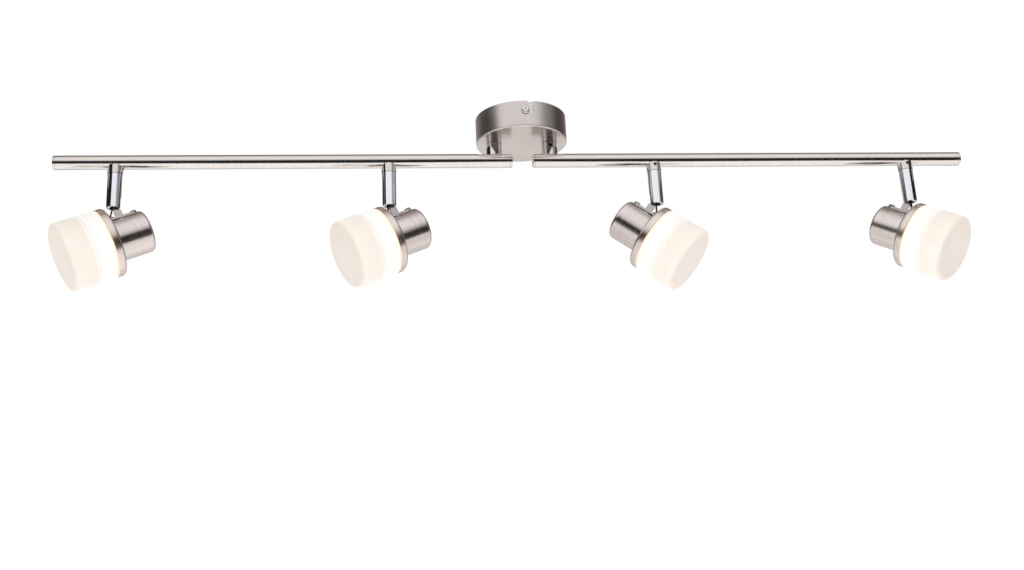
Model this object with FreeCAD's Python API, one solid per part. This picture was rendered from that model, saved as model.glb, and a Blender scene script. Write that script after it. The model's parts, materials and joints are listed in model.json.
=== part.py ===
import FreeCAD, Part
import math
import os

# Ceiling spotlight bar: a drum canopy carries two round arms, each arm swivels under the canopy
# and carries two lamps, and each lamp pans on a stem and tilts on a pin in the stem's lower end.
# Millimetres and degrees. The origin is the centre of the canopy in the ceiling plane, +Z is up
# and +X runs along the right arm. -Y is the front.

# Canopy and its ceiling bracket
CANOPY_RADIUS = 40.0
CANOPY_HEIGHT = 23.4
CANOPY_WALL = 1.0
CANOPY_FLOOR = 1.2
CANOPY_EDGE_ROUND = 1.0
BAYONET_WIDTH = 4.7
BAYONET_SHIFT = 4.7
BAYONET_MOUTH_ROUND = 1.3
BRACKET_WIDTH = 16.0
BRACKET_THICKNESS = 1.5
BRACKET_EAR_DEPTH = 13.0
BRACKET_EAR_GAP = 0.2
WIRE_WINDOW_WIDTH = 7.0
CEILING_SLOT_SPACING = 54.0
CEILING_SLOT_LENGTH = 10.0
CEILING_SLOT_WIDTH = 4.6
SIDE_SCREW_DROP = 8.7
SIDE_SCREW_THREAD = 2.0
SIDE_SCREW_HEAD_RADIUS = 3.5
SIDE_SCREW_HEAD_HEIGHT = 2.2
SIDE_SCREW_LENGTH = 8.0
EARTH_SCREW_Y = 17.0
EARTH_SCREW_THREAD = 2.0
EARTH_SCREW_HEAD_RADIUS = 3.5
EARTH_SCREW_HEAD_HEIGHT = 2.2
EARTH_LUG_RADIUS = 4.0
EARTH_LUG_THICKNESS = 0.8

# Terminal block under the ceiling bracket
BLOCK_LENGTH = 22.5
BLOCK_WIDTH = 15.0
BLOCK_HEIGHT = 11.0
SUPPLY_ENTRY_PITCH = 7.0
SUPPLY_ENTRY_RADIUS = 1.7
SUPPLY_ENTRY_DEPTH = 6.0
TERMINAL_SCREW_RADIUS = 1.1
TERMINAL_SCREW_LENGTH = 5.0
TERMINAL_SCREW_SINK = 0.5
TERMINAL_SCREW_SLOT_WIDTH = 0.5
TERMINAL_SCREW_SLOT_DEPTH = 0.6

# Swivels between the canopy and the arms
SWIVEL_SPACING = 49.0
SPIGOT_RADIUS = 5.2
SPIGOT_STUD_RADIUS = 4.0
SPIGOT_BORE_RADIUS = 2.8
SPIGOT_STUD_RISE = 8.0
SPIGOT_ARM_GAP = 0.4
NUT_ACROSS_FLATS = 13.0
NUT_HEIGHT = 4.5
WASHER_RADIUS = 8.0
WASHER_THICKNESS = 1.0
SLEEVE_RADIUS = 7.0
SLEEVE_TOP_GAP = 0.25
SWIVEL_LIMIT = 75.0
SWIVEL_SCREW_DROP = 3.6

# Arms
ARM_RADIUS = 6.15
ARM_WALL = 1.0
ARM_AXIS_DROP = 39.2
ARM_LEAD_HOLE = 4.0
ARM_TAIL = 15.3
ARM_REACH = 376.0
NEAR_STEM = 92.7
FAR_STEM = 324.5
END_CAP_THICKNESS = 2.0
END_CAP_PLUG = 6.0
END_CAP_WALL = 1.0
END_CAP_CHAMFER = 0.35
SADDLE_RISE = 3.4
SADDLE_EDGE_ROUND = 0.5

# Sockets under the arms and the necks of the stems that turn in them
SOCKET_RADIUS = 6.4
SOCKET_DEPTH = 11.3
NECK_RADIUS = 4.2
NECK_BORE_RADIUS = 2.8
NECK_TOP_DROP = 2.2
PAN_SCREW_DROP = 6.0
PAN_LIMIT = 150.0
STOP_GROOVE_WIDTH = 3.0
STOP_GROOVE_DEPTH = 0.75
GRUB_RADIUS = 1.5
GRUB_TIP_RADIUS = 1.1
GRUB_TIP_GAP = 0.1
GRUB_SINK = 0.4
GRUB_SOCKET_FLATS = 1.5
GRUB_SOCKET_DEPTH = 0.9
STOP_GAP = 0.15

# Shape of every pan head screw, as shares of its head
SCREW_DOME_SHARE = 0.7
SCREW_CROSS_SHARE = 0.5

# Stems and the fork pressed into each stem's lower end
STEM_RADIUS = 6.0
STEM_WALL = 1.0
STEM_GAP = 0.25
STEM_END_DROP = 42.0
STEM_TOP_WALL = 2.0
PIVOT_RISE = 5.0
TUBE_SLOT_WIDTH = 6.2
FORK_HEIGHT = 16.0
FORK_SLOT_WIDTH = 7.4
FORK_SLOT_FRONT = 3.0
FORK_SLOT_TOP = 4.6
FORK_HOLE_RADIUS = 0.9
FORK_HOLE_FORWARD = 4.2
FORK_HOLE_DEPTH = 4.0
FORK_LEAD_GAP = 1.0
PIN_RADIUS = 1.0
BUSH_RADIUS = 1.4
FIT_GAP = 0.03
RUNNING_GAP = 0.05

# Lamp: its axis runs forward along the light, measured from the tilt pin
LAMP_DROP = 31.9
FLANGE_AHEAD = 13.65
FLANGE_RADIUS = 29.45
FLANGE_WIDTH = 7.0
FLANGE_WALL = 2.0
FLANGE_BACK = 2.2
FLANGE_REAR_ROUND = 2.4
FLANGE_FRONT_ROUND = 0.3
FLANGE_BOSS_LENGTH = 4.0
FLANGE_BOSS_WALL = 2.0
FLANGE_LEAD_HOLE = 4.0
HOUSING_RADIUS = 18.0
HOUSING_LENGTH = 30.6
HOUSING_WALL = 2.0
HOUSING_REAR_ROUND = 2.6
HOUSING_RAIL_WIDTH = 2.0
HOUSING_RAIL_HEIGHT = 1.6
SHADE_LENGTH = 37.3
SHADE_WALL = 2.5
SHADE_GAP = 0.15
SHADE_FRONT_ROUND = 3.2
SHADE_GROOVE_AHEAD = 22.0
SHADE_GROOVE_WIDTH = 3.4
SHADE_GROOVE_DEPTH = 0.4
SHADE_GROOVE_ROUND = 0.2
SHADE_REAR_ROUND = 0.3
SHADE_REAR_WEB = 1.0
SHADE_SPIGOT_LENGTH = 2.6
SHADE_SPIGOT_WALL = 1.5
BOARD_MARGIN = 3.45
BOARD_THICKNESS = 1.6
LED_SIZE = 3.0
LED_HEIGHT = 0.7
LED_RINGS = ((7.0, 6), (16.0, 12))
DRIVER_LENGTH = 22.0
DRIVER_DROP = 5.0
DRIVER_THICKNESS = 1.6
DRIVER_TERMINAL_LENGTH = 4.3
DRIVER_TERMINAL_WIDTH = 8.0
DRIVER_TERMINAL_HEIGHT = 4.0
DRIVER_TERMINAL_SETBACK = 0.2
DRIVER_REAR_GAP = 2.1
DRIVER_SIDE_GAP = 0.1
TRANSFORMER_BACK = 7.0
TRANSFORMER_LENGTH = 8.0
TRANSFORMER_WIDTH = 10.0
TRANSFORMER_HEIGHT = 8.0
CAPACITOR_RADIUS = 3.0
CAPACITOR_HEIGHT = 9.0
CAPACITOR_BACK = 4.0
CAPACITOR_SIDE = -8.0
CHOKE_RADIUS = 3.0
CHOKE_HEIGHT = 5.0
CHOKE_BACK = 18.0
CHOKE_SIDE = 8.0

# Bracket between the tilt pin and the lamp
TONGUE_THICKNESS = 3.0
TONGUE_HEAD_RADIUS = 2.3
TONGUE_HALF_WIDTH = 3.0
TONGUE_SHOULDER_DROP = 7.2
TONGUE_SHOULDER_ROUND = 0.4
STRAP_WIDTH = 9.0
STRAP_LENGTH = 28.5
STRAP_THICKNESS = 1.3
STRAP_SCREW_THREAD = 1.45
STRAP_SCREW_PAST = 1.0
STRAP_SCREW_HEAD_RADIUS = 2.7
STRAP_SCREW_HEAD_HEIGHT = 1.2
STRAP_SCREW_GAP = 6.3
GROMMET_BACK = 6.6
GROMMET_RADIUS = 2.1
GROMMET_RIM_RADIUS = 2.6
GROMMET_RIM_HEIGHT = 0.7
GROMMET_BORE_RADIUS = 1.35

# Leads
LEAD_RADIUS = 0.55
LEAD_PITCH = 1.2
LEAD_BEND = 4.0
LEAD_JOIN_RISE = 7.2
LEAD_JOIN_GAP = 0.3
BOARD_LEAD_DROP = 2.5
FLEX_RADIUS = 0.6
FLEX_TOP_SPREAD = 2.4
FLEX_LOW_SPREAD = 0.66
FLEX_AHEAD = 2.15
FLEX_BEND = 2.5
FLEX_RISE = 0.4
FLEX_FALL = 3.6
FLEX_STAND = 2.2
FLEX_KNEE_AHEAD_SHARE = 0.58
FLEX_KNEE_SPREAD_SHARE = 0.85
FLEX_KNEE_DROP_SHARE = 0.59

# How each lamp is turned: its arm and stem, the direction of its light about Z from +X,
# how far the light points below level, and where the grub screw of its socket sits.
LAMPS = (
    ("left", FAR_STEM, 199.3, 25.1, 0.0),
    ("left", NEAR_STEM, 197.1, 24.7, 90.0),
    ("right", NEAR_STEM, -19.0, 39.0, -90.0),
    ("right", FAR_STEM, -41.0, 31.5, -90.0),
)
ARM_TURN = {"left": 180.0, "right": 0.0}

X_AXIS = FreeCAD.Vector(1, 0, 0)
Y_AXIS = FreeCAD.Vector(0, 1, 0)
Z_AXIS = FreeCAD.Vector(0, 0, 1)

arm_bore = ARM_RADIUS - ARM_WALL
stem_bore = STEM_RADIUS - STEM_WALL
housing_bore = HOUSING_RADIUS - HOUSING_WALL
socket_bore = NECK_RADIUS + RUNNING_GAP
sleeve_bore = SPIGOT_RADIUS + RUNNING_GAP
spigot_bottom = ARM_RADIUS + SPIGOT_ARM_GAP
canopy_under = ARM_AXIS_DROP - CANOPY_HEIGHT
pivot_drop = STEM_END_DROP - PIVOT_RISE
stem_top_drop = SOCKET_DEPTH + STEM_GAP
strap_screw_back = FLANGE_AHEAD + TONGUE_HALF_WIDTH + STRAP_SCREW_GAP + STRAP_SCREW_HEAD_RADIUS


def point(x, y, z):
    return FreeCAD.Vector(x, y, z)


def box(x_low, x_high, y_low, y_high, z_low, z_high):
    return Part.makeBox(x_high - x_low, y_high - y_low, z_high - z_low, point(x_low, y_low, z_low))


def rod(radius, start, end):
    return Part.makeCylinder(radius, start.distanceToPoint(end), start, end - start)


def upright(radius, z_low, z_high, x=0.0, y=0.0):
    return rod(radius, point(x, y, z_low), point(x, y, z_high))


def ring(outer, inner, z_low, z_high):
    return upright(outer, z_low, z_high).cut(upright(inner, z_low - 1, z_high + 1))


def hexagon(across_flats, z_low, z_high):
    corner = across_flats / math.sqrt(3)
    corners = [point(corner * math.cos(math.radians(60 * i)), corner * math.sin(math.radians(60 * i)), z_low)
               for i in range(6)]
    return Part.Face(Part.makePolygon(corners + corners[:1])).extrude(point(0, 0, z_high - z_low))


def rounded_edges(corners, closed):
    """Edges through (point, radius) corners, each corner replaced by a tangent arc of its radius."""
    count = len(corners)
    starts, ends, arcs = [], [], []
    for i, (corner, radius) in enumerate(corners):
        if radius == 0 or (not closed and i in (0, count - 1)):
            starts.append(corner)
            ends.append(corner)
            arcs.append(None)
            continue
        back = (corners[i - 1][0] - corner).normalize()
        ahead = (corners[(i + 1) % count][0] - corner).normalize()
        half = back.getAngle(ahead) / 2
        reach = radius / math.tan(half)
        inward = (back + ahead).normalize()
        middle = corner + inward * (radius / math.sin(half) - radius)
        starts.append(corner + back * reach)
        ends.append(corner + ahead * reach)
        arcs.append(Part.Arc(starts[-1], middle, ends[-1]).toShape())
    edges = []
    for i in range(count):
        if arcs[i]:
            edges.append(arcs[i])
        if i < count - 1 or closed:
            following = starts[(i + 1) % count]
            if ends[i].distanceToPoint(following) > 1e-6:
                edges.append(Part.LineSegment(ends[i], following).toShape())
    return edges


def side_face(corners):
    """Face in the XZ plane from (x, z, radius) corners."""
    return Part.Face(Part.Wire(rounded_edges([(point(x, 0, z), r) for x, z, r in corners], True)))


def turned(corners):
    """Solid turned about the X axis from (x, distance from the axis, corner radius) corners."""
    return side_face(corners).revolve(point(0, 0, 0), X_AXIS, 360)


def plate(corners, thickness):
    """Plate of the given thickness about the XZ plane."""
    face = side_face(corners)
    face.translate(point(0, -thickness / 2, 0))
    return face.extrude(point(0, thickness, 0))


def lead(route, radius, bend):
    """Lead along straight runs that arcs of one bend radius join."""
    path = Part.Wire(rounded_edges([(p, bend) for p in route], False))
    section = Part.Wire(Part.makeCircle(radius, route[0], route[1] - route[0]))
    return path.makePipe(Part.Face(section))


def turned_about_z(shape, angle):
    copy = shape.copy()
    copy.rotate(point(0, 0, 0), Z_AXIS, angle)
    return copy


def pan_head_screw(thread, length, head_radius, head_height):
    """Cross-recessed pan head screw: its head stands on z = 0 and its thread points down."""
    head = upright(head_radius, 0, head_height)
    rim = [e for e in head.Edges if abs(e.CenterOfMass.z - head_height) < 0.01]
    head = head.makeFillet(head_height * SCREW_DOME_SHARE, rim)
    arm = head_radius * SCREW_CROSS_SHARE
    blade = arm / 4
    floor = head_height / 3
    recess = box(-arm, arm, -blade, blade, floor, head_height + 1)
    recess = recess.fuse(box(-blade, blade, -arm, arm, floor, head_height + 1))
    return head.cut(recess).fuse(upright(thread, -length, 0)).removeSplitter()


def grub_screw(outer, shoulder, tip):
    """Socket grub screw along +X: its outer end, shoulder and tip by distance from the axis it points at."""
    body = rod(GRUB_RADIUS - FIT_GAP, point(shoulder, 0, 0), point(outer, 0, 0))
    body = body.fuse(rod(GRUB_TIP_RADIUS, point(tip, 0, 0), point(shoulder, 0, 0))).removeSplitter()
    socket = hexagon(GRUB_SOCKET_FLATS, 0, GRUB_SOCKET_DEPTH + 1)
    socket.rotate(point(0, 0, 0), Y_AXIS, 90)
    socket.translate(point(outer - GRUB_SOCKET_DEPTH, 0, 0))
    return body.cut(socket)


def stop_groove(radius, z, half_angle, direction):
    """Cutter for a groove round the Z axis that ends half_angle to each side of a direction."""
    groove = ring(radius + 1, radius - STOP_GROOVE_DEPTH, z - STOP_GROOVE_WIDTH / 2, z + STOP_GROOVE_WIDTH / 2)
    web_half = 180 - half_angle
    reach = 2 * radius + 4
    web = Part.makeCylinder(reach, STOP_GROOVE_WIDTH + 2, point(0, 0, z - STOP_GROOVE_WIDTH / 2 - 1),
                            Z_AXIS, 2 * web_half)
    return groove.cut(turned_about_z(web, direction + 180 - web_half))


def groove_half_angle(limit, radius):
    """Half the sweep of a stop groove: the joint's limit plus the room that the screw's tip takes."""
    floor = radius - STOP_GROOVE_DEPTH
    return limit + math.degrees(math.asin((GRUB_TIP_RADIUS + STOP_GAP) / floor))


# Canopy body --------------------------------------------------------------------------------------

def bayonet_cutter():
    """L-shaped cutter through the front wall: a leg from the rim and a run back to the screw."""
    half = BAYONET_WIDTH / 2
    reach = CANOPY_RADIUS + 1
    y_range = (-reach, -CANOPY_RADIUS / 2)
    run = box(0, BAYONET_SHIFT, *y_range, -SIDE_SCREW_DROP - half, -SIDE_SCREW_DROP + half)
    leg = box(BAYONET_SHIFT - half, BAYONET_SHIFT + half, *y_range, -SIDE_SCREW_DROP, 1)
    run = run.fuse([leg, rod(half, point(0, -reach, -SIDE_SCREW_DROP), point(0, y_range[1], -SIDE_SCREW_DROP)),
                    rod(half, point(BAYONET_SHIFT, -reach, -SIDE_SCREW_DROP),
                        point(BAYONET_SHIFT, y_range[1], -SIDE_SCREW_DROP))])
    for side in (-1, 1):
        inner = BAYONET_SHIFT + side * half
        outer = inner + side * BAYONET_MOUTH_ROUND
        corner = box(min(inner, outer), max(inner, outer), *y_range, -BAYONET_MOUTH_ROUND, 1)
        corner = corner.cut(rod(BAYONET_MOUTH_ROUND, point(outer, -reach - 1, -BAYONET_MOUTH_ROUND),
                                point(outer, y_range[1] + 1, -BAYONET_MOUTH_ROUND)))
        run = run.fuse(corner)
    return run


def canopy_cup():
    outer = upright(CANOPY_RADIUS, -CANOPY_HEIGHT, 0)
    low_edge = [e for e in outer.Edges if abs(e.CenterOfMass.z + CANOPY_HEIGHT) < 0.01]
    outer = outer.makeFillet(CANOPY_EDGE_ROUND, low_edge)
    cup = outer.cut(upright(CANOPY_RADIUS - CANOPY_WALL, -CANOPY_HEIGHT + CANOPY_FLOOR, 1))
    for side in (-1, 1):
        hole = SPIGOT_STUD_RADIUS + 2 * FIT_GAP
        cup = cup.cut(upright(hole, -CANOPY_HEIGHT - 1, 0, side * SWIVEL_SPACING / 2))
    front = bayonet_cutter()
    return cup.cut(front).cut(turned_about_z(front, 180))


def ear_face():
    """Distance from the centre to an ear's outer face: its corners just clear the round wall."""
    inner_wall = CANOPY_RADIUS - CANOPY_WALL
    return math.sqrt(inner_wall ** 2 - (BRACKET_WIDTH / 2) ** 2) - BRACKET_EAR_GAP


def ceiling_bracket():
    reach = ear_face()
    half = BRACKET_WIDTH / 2
    bracket = box(-half, half, -reach, reach, -BRACKET_THICKNESS, 0)
    for side in (-1, 1):
        faces = sorted((side * reach, side * (reach - BRACKET_THICKNESS)))
        bracket = bracket.fuse(box(-half, half, *faces, -BRACKET_EAR_DEPTH, 0))
        bracket = bracket.cut(rod(SIDE_SCREW_THREAD, point(0, 0, -SIDE_SCREW_DROP),
                                  point(0, side * (reach + 1), -SIDE_SCREW_DROP)))
        run = (CEILING_SLOT_LENGTH - CEILING_SLOT_WIDTH) / 2
        centre = side * CEILING_SLOT_SPACING / 2
        width = CEILING_SLOT_WIDTH / 2
        bracket = bracket.cut(box(-width, width, centre - run, centre + run, -3, 1))
        for end in (centre - run, centre + run):
            bracket = bracket.cut(upright(width, -BRACKET_THICKNESS - 1, 1, 0, end))
    bracket = bracket.cut(upright(EARTH_SCREW_THREAD, -BRACKET_THICKNESS - 1, 1, 0, EARTH_SCREW_Y))
    return bracket.cut(wire_window()).removeSplitter()


def wire_window():
    """Cutter for the round-ended window over the terminal block's supply entries."""
    half = WIRE_WINDOW_WIDTH / 2
    low = -BRACKET_THICKNESS - 1
    window = box(-half, half, -SUPPLY_ENTRY_PITCH, SUPPLY_ENTRY_PITCH, low, 1)
    return window.fuse([upright(half, low, 1, 0, end) for end in (-SUPPLY_ENTRY_PITCH, SUPPLY_ENTRY_PITCH)])


def side_screws():
    screw = pan_head_screw(SIDE_SCREW_THREAD - FIT_GAP, SIDE_SCREW_LENGTH,
                           SIDE_SCREW_HEAD_RADIUS, SIDE_SCREW_HEAD_HEIGHT)
    screw.rotate(point(0, 0, 0), X_AXIS, 90)
    screw.translate(point(0, -CANOPY_RADIUS, -SIDE_SCREW_DROP))
    return [screw, turned_about_z(screw, 180)]


def earth_screw():
    under = -BRACKET_THICKNESS
    screw = pan_head_screw(EARTH_SCREW_THREAD - FIT_GAP, BRACKET_THICKNESS + EARTH_LUG_THICKNESS,
                           EARTH_SCREW_HEAD_RADIUS, EARTH_SCREW_HEAD_HEIGHT)
    screw.rotate(point(0, 0, 0), X_AXIS, 180)
    screw.translate(point(0, EARTH_SCREW_Y, under - EARTH_LUG_THICKNESS))
    lug = upright(EARTH_LUG_RADIUS, under - EARTH_LUG_THICKNESS, under, 0, EARTH_SCREW_Y)
    lug = lug.cut(upright(EARTH_SCREW_THREAD + FIT_GAP, under - 5, 0, 0, EARTH_SCREW_Y))
    return [screw, lug]


def terminal_block():
    """Three-pole block along Y: supply entries face up through the bracket's window, screws face +X."""
    top = -BRACKET_THICKNESS
    side = BLOCK_WIDTH / 2
    block = box(-side, side, -BLOCK_LENGTH / 2, BLOCK_LENGTH / 2, top - BLOCK_HEIGHT, top)
    height = top - SUPPLY_ENTRY_DEPTH / 2
    head = side - TERMINAL_SCREW_SINK
    slot = TERMINAL_SCREW_SLOT_WIDTH / 2
    screws = []
    for y in (-SUPPLY_ENTRY_PITCH, 0, SUPPLY_ENTRY_PITCH):
        block = block.cut(upright(SUPPLY_ENTRY_RADIUS, top - SUPPLY_ENTRY_DEPTH, top + 1, 0, y))
        block = block.cut(rod(TERMINAL_SCREW_RADIUS, point(0, y, height), point(side + 1, y, height)))
        screw = rod(TERMINAL_SCREW_RADIUS - FIT_GAP, point(head - TERMINAL_SCREW_LENGTH, y, height),
                    point(head, y, height))
        screws.append(screw.cut(box(head - TERMINAL_SCREW_SLOT_DEPTH, side, y - slot, y + slot,
                                    height - TERMINAL_SCREW_RADIUS, height + TERMINAL_SCREW_RADIUS)))
    return [block] + screws


def swivel_spigot():
    """Hollow spigot on the swivel axis: a stud through the canopy floor over a round, grooved body."""
    under = -CANOPY_HEIGHT
    low = -ARM_AXIS_DROP + spigot_bottom
    spigot = upright(SPIGOT_RADIUS, low, under)
    spigot = spigot.fuse(upright(SPIGOT_STUD_RADIUS, under, under + CANOPY_FLOOR + SPIGOT_STUD_RISE))
    spigot = spigot.cut(upright(SPIGOT_BORE_RADIUS, low - 1, 0))
    sweep = groove_half_angle(SWIVEL_LIMIT, SPIGOT_RADIUS)
    return spigot.cut(stop_groove(SPIGOT_RADIUS, under - SWIVEL_SCREW_DROP, sweep, -90))


def swivel_spigots():
    spigot = swivel_spigot()
    spigot.translate(point(SWIVEL_SPACING / 2, 0, 0))
    return [spigot, turned_about_z(spigot, 180)]


def spigot_nuts():
    floor = -CANOPY_HEIGHT + CANOPY_FLOOR
    bore = SPIGOT_STUD_RADIUS + FIT_GAP
    solids = []
    for side in (-1, 1):
        washer = ring(WASHER_RADIUS, bore, floor, floor + WASHER_THICKNESS)
        low = floor + WASHER_THICKNESS
        nut = hexagon(NUT_ACROSS_FLATS, low, low + NUT_HEIGHT).cut(upright(bore, low - 1, low + NUT_HEIGHT + 1))
        for solid in (washer, nut):
            solid.translate(point(side * SWIVEL_SPACING / 2, 0, 0))
            solids.append(solid)
    return solids


def canopy_leads():
    """Four leads from each spigot up to the terminal block, and the earth lead to its lug."""
    level = -BRACKET_THICKNESS - BLOCK_HEIGHT / 2
    low = LEAD_JOIN_RISE - ARM_AXIS_DROP
    solids = []
    for side in (-1, 1):
        x = side * SWIVEL_SPACING / 2
        for i in range(4):
            y = (i - 1.5) * LEAD_PITCH
            route = [point(x, y, low), point(x, y, level), point(side * BLOCK_WIDTH / 2, y, level)]
            solids.append(lead(route, LEAD_RADIUS, LEAD_BEND))
    lug_edge = EARTH_SCREW_Y - EARTH_LUG_RADIUS
    height = -BRACKET_THICKNESS - LEAD_RADIUS
    solids.append(rod(LEAD_RADIUS, point(0, BLOCK_LENGTH / 2, height), point(0, lug_edge, height)))
    return solids


# Arms: built for the right arm, with the swivel axis at x = 0 and the arm's axis at z = 0 ----------

def saddle(radius, far_end):
    """Round socket coped over the arm: from the arm's side to far_end, with a rounded rim on the arm."""
    near_end = math.copysign(SADDLE_RISE, far_end)
    body = upright(radius, min(near_end, far_end), max(near_end, far_end))
    rim = [e for e in body.Edges if abs(e.CenterOfMass.z - near_end) < 0.01]
    return body.makeFillet(SADDLE_EDGE_ROUND, rim)


def stems_of(side):
    """Place of each stem along an arm and the direction of its grub screw in the arm's own frame."""
    return [(stem, screw - ARM_TURN[side]) for arm, stem, _, _, screw in LAMPS if arm == side]


def radial_hole(radius, reach, x, height, direction):
    hole = turned_about_z(rod(radius, point(0, 0, 0), point(reach, 0, 0)), direction)
    hole.translate(point(x, 0, height))
    return hole


def arm(side):
    tube_ends = (point(END_CAP_THICKNESS - ARM_TAIL, 0, 0), point(ARM_REACH - END_CAP_THICKNESS, 0, 0))
    sleeve_top = canopy_under - SLEEVE_TOP_GAP
    solids = [saddle(SLEEVE_RADIUS, sleeve_top)]
    holes = [rod(arm_bore, tube_ends[0] - X_AXIS, tube_ends[1] + X_AXIS),
             upright(sleeve_bore, ARM_RADIUS, sleeve_top + 1),
             upright(ARM_LEAD_HOLE, 0, ARM_RADIUS + 1),
             radial_hole(GRUB_RADIUS, SLEEVE_RADIUS + 1, 0, canopy_under - SWIVEL_SCREW_DROP, -90)]
    for stem, screw in stems_of(side):
        socket = saddle(SOCKET_RADIUS, -SOCKET_DEPTH)
        socket.translate(point(stem, 0, 0))
        solids.append(socket)
        holes.append(upright(socket_bore, -SOCKET_DEPTH - 1, 0, stem))
        holes.append(radial_hole(GRUB_RADIUS, SOCKET_RADIUS + 1, stem, -PAN_SCREW_DROP, screw))
    return [rod(ARM_RADIUS, *tube_ends).fuse(solids).cut(holes).removeSplitter()]


def end_cap():
    """Cap for the arm's outer end: a chamfered disc with a plug that fits in the tube."""
    disc = END_CAP_THICKNESS
    plug = arm_bore - FIT_GAP
    wall = END_CAP_WALL
    return turned([(0, 0, 0), (disc, 0, 0), (disc, ARM_RADIUS - END_CAP_CHAMFER, 0),
                   (disc - END_CAP_CHAMFER, ARM_RADIUS, 0), (END_CAP_CHAMFER, ARM_RADIUS, 0),
                   (0, ARM_RADIUS - END_CAP_CHAMFER, 0), (0, plug, 0), (-END_CAP_PLUG, plug, 0),
                   (-END_CAP_PLUG, plug - wall, 0), (-wall, plug - wall, 0), (-wall, 0, 0)])


def end_caps():
    outer = end_cap()
    inner = turned_about_z(outer, 180)
    outer.translate(point(ARM_REACH - END_CAP_THICKNESS, 0, 0))
    inner.translate(point(END_CAP_THICKNESS - ARM_TAIL, 0, 0))
    return [outer, inner]


def grub_screws(side):
    """Grub screw of the swivel sleeve, then one for each stem's socket."""
    seats = [(0, canopy_under - SWIVEL_SCREW_DROP, SLEEVE_RADIUS, SPIGOT_RADIUS, -90)]
    for stem, screw in stems_of(side):
        seats.append((stem, -PAN_SCREW_DROP, SOCKET_RADIUS, NECK_RADIUS, screw))
    solids = []
    for x, height, outer, journal, direction in seats:
        tip = journal - STOP_GROOVE_DEPTH + GRUB_TIP_GAP
        shape = turned_about_z(grub_screw(outer - GRUB_SINK, journal + RUNNING_GAP, tip), direction)
        shape.translate(point(x, 0, height))
        solids.append(shape)
    return solids


def arm_leads(side):
    """Two leads to each stem: down the swivel's bore, along the arm, and down the stem to its fork."""
    top = LEAD_JOIN_RISE - LEAD_JOIN_GAP
    low = -pivot_drop + FORK_SLOT_TOP + FORK_LEAD_GAP
    spreads = {NEAR_STEM: 0.5 * LEAD_PITCH, FAR_STEM: 1.5 * LEAD_PITCH}
    solids = []
    for stem, _ in stems_of(side):
        for y in (-spreads[stem], spreads[stem]):
            route = [point(0, y, top), point(0, y, 0), point(stem, y, 0), point(stem, y, low)]
            solids.append(lead(route, LEAD_RADIUS, LEAD_BEND))
    return solids


# Stems: built with the tilt pin's centre at the origin and the light's direction along +X ----------

def stem_tube():
    """Chromed tube with a grooved neck on top; its rear wall is slotted for the bracket's tongue."""
    low = -PIVOT_RISE
    top = pivot_drop - stem_top_drop
    neck_top = pivot_drop - NECK_TOP_DROP
    tube = upright(STEM_RADIUS, low, top).cut(upright(stem_bore, low - 1, top - STEM_TOP_WALL))
    tube = tube.fuse(upright(NECK_RADIUS, top - STEM_TOP_WALL, neck_top))
    tube = tube.cut(upright(NECK_BORE_RADIUS, 0, neck_top + 1))
    slot = TUBE_SLOT_WIDTH / 2
    tube = tube.cut(box(-STEM_RADIUS - 1, 0, -slot, slot, low - 1, FORK_SLOT_TOP))
    return tube.removeSplitter()


def grooved_stem_tube(side, screw):
    """Stem tube whose groove stops the lamp PAN_LIMIT to each side of its arm's outward direction."""
    sweep = groove_half_angle(PAN_LIMIT, NECK_RADIUS)
    height = pivot_drop - PAN_SCREW_DROP
    return [stem_tube().cut(stop_groove(NECK_RADIUS, height, sweep, screw - ARM_TURN[side]))]


def stem_fork():
    """Plug pressed into the stem's lower end: slotted for the tongue and the leads, with a solid front."""
    low = -PIVOT_RISE
    slot = FORK_SLOT_WIDTH / 2
    fork = upright(stem_bore - FIT_GAP, low, low + FORK_HEIGHT)
    fork = fork.cut(box(-STEM_RADIUS, FORK_SLOT_FRONT, -slot, slot, low - 1, FORK_SLOT_TOP))
    fork = fork.cut(upright(NECK_BORE_RADIUS, 0, low + FORK_HEIGHT + 1))
    fork = fork.cut(upright(FORK_HOLE_RADIUS, low - 1, low + FORK_HOLE_DEPTH, FORK_HOLE_FORWARD))
    return [fork.cut(rod(PIN_RADIUS + FIT_GAP, point(0, -STEM_RADIUS, 0), point(0, STEM_RADIUS, 0)))]


def pivot_pin():
    """Tilt pin held in the fork's cheeks, with a spacer bush to each side of the tongue."""
    reach = math.sqrt((stem_bore - FIT_GAP) ** 2 - PIN_RADIUS ** 2) - FIT_GAP
    solids = [rod(PIN_RADIUS, point(0, -reach, 0), point(0, reach, 0))]
    inner = TONGUE_THICKNESS / 2 + RUNNING_GAP
    outer = FORK_SLOT_WIDTH / 2 - FIT_GAP
    bush = rod(BUSH_RADIUS, point(0, inner, 0), point(0, outer, 0))
    bush = bush.cut(rod(PIN_RADIUS + FIT_GAP, point(0, 0, 0), point(0, STEM_RADIUS, 0)))
    return solids + [bush, turned_about_z(bush, 180)]


# Lamps: built with the tilt pin's centre at the origin and the light's direction along +X ----------

def on_lamp(shape):
    """Move a shape from the lamp's own axis, with x = 0 at the flange's rear face, to the tilt pin."""
    shape.translate(point(FLANGE_AHEAD, 0, -LAMP_DROP))
    return shape


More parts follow.
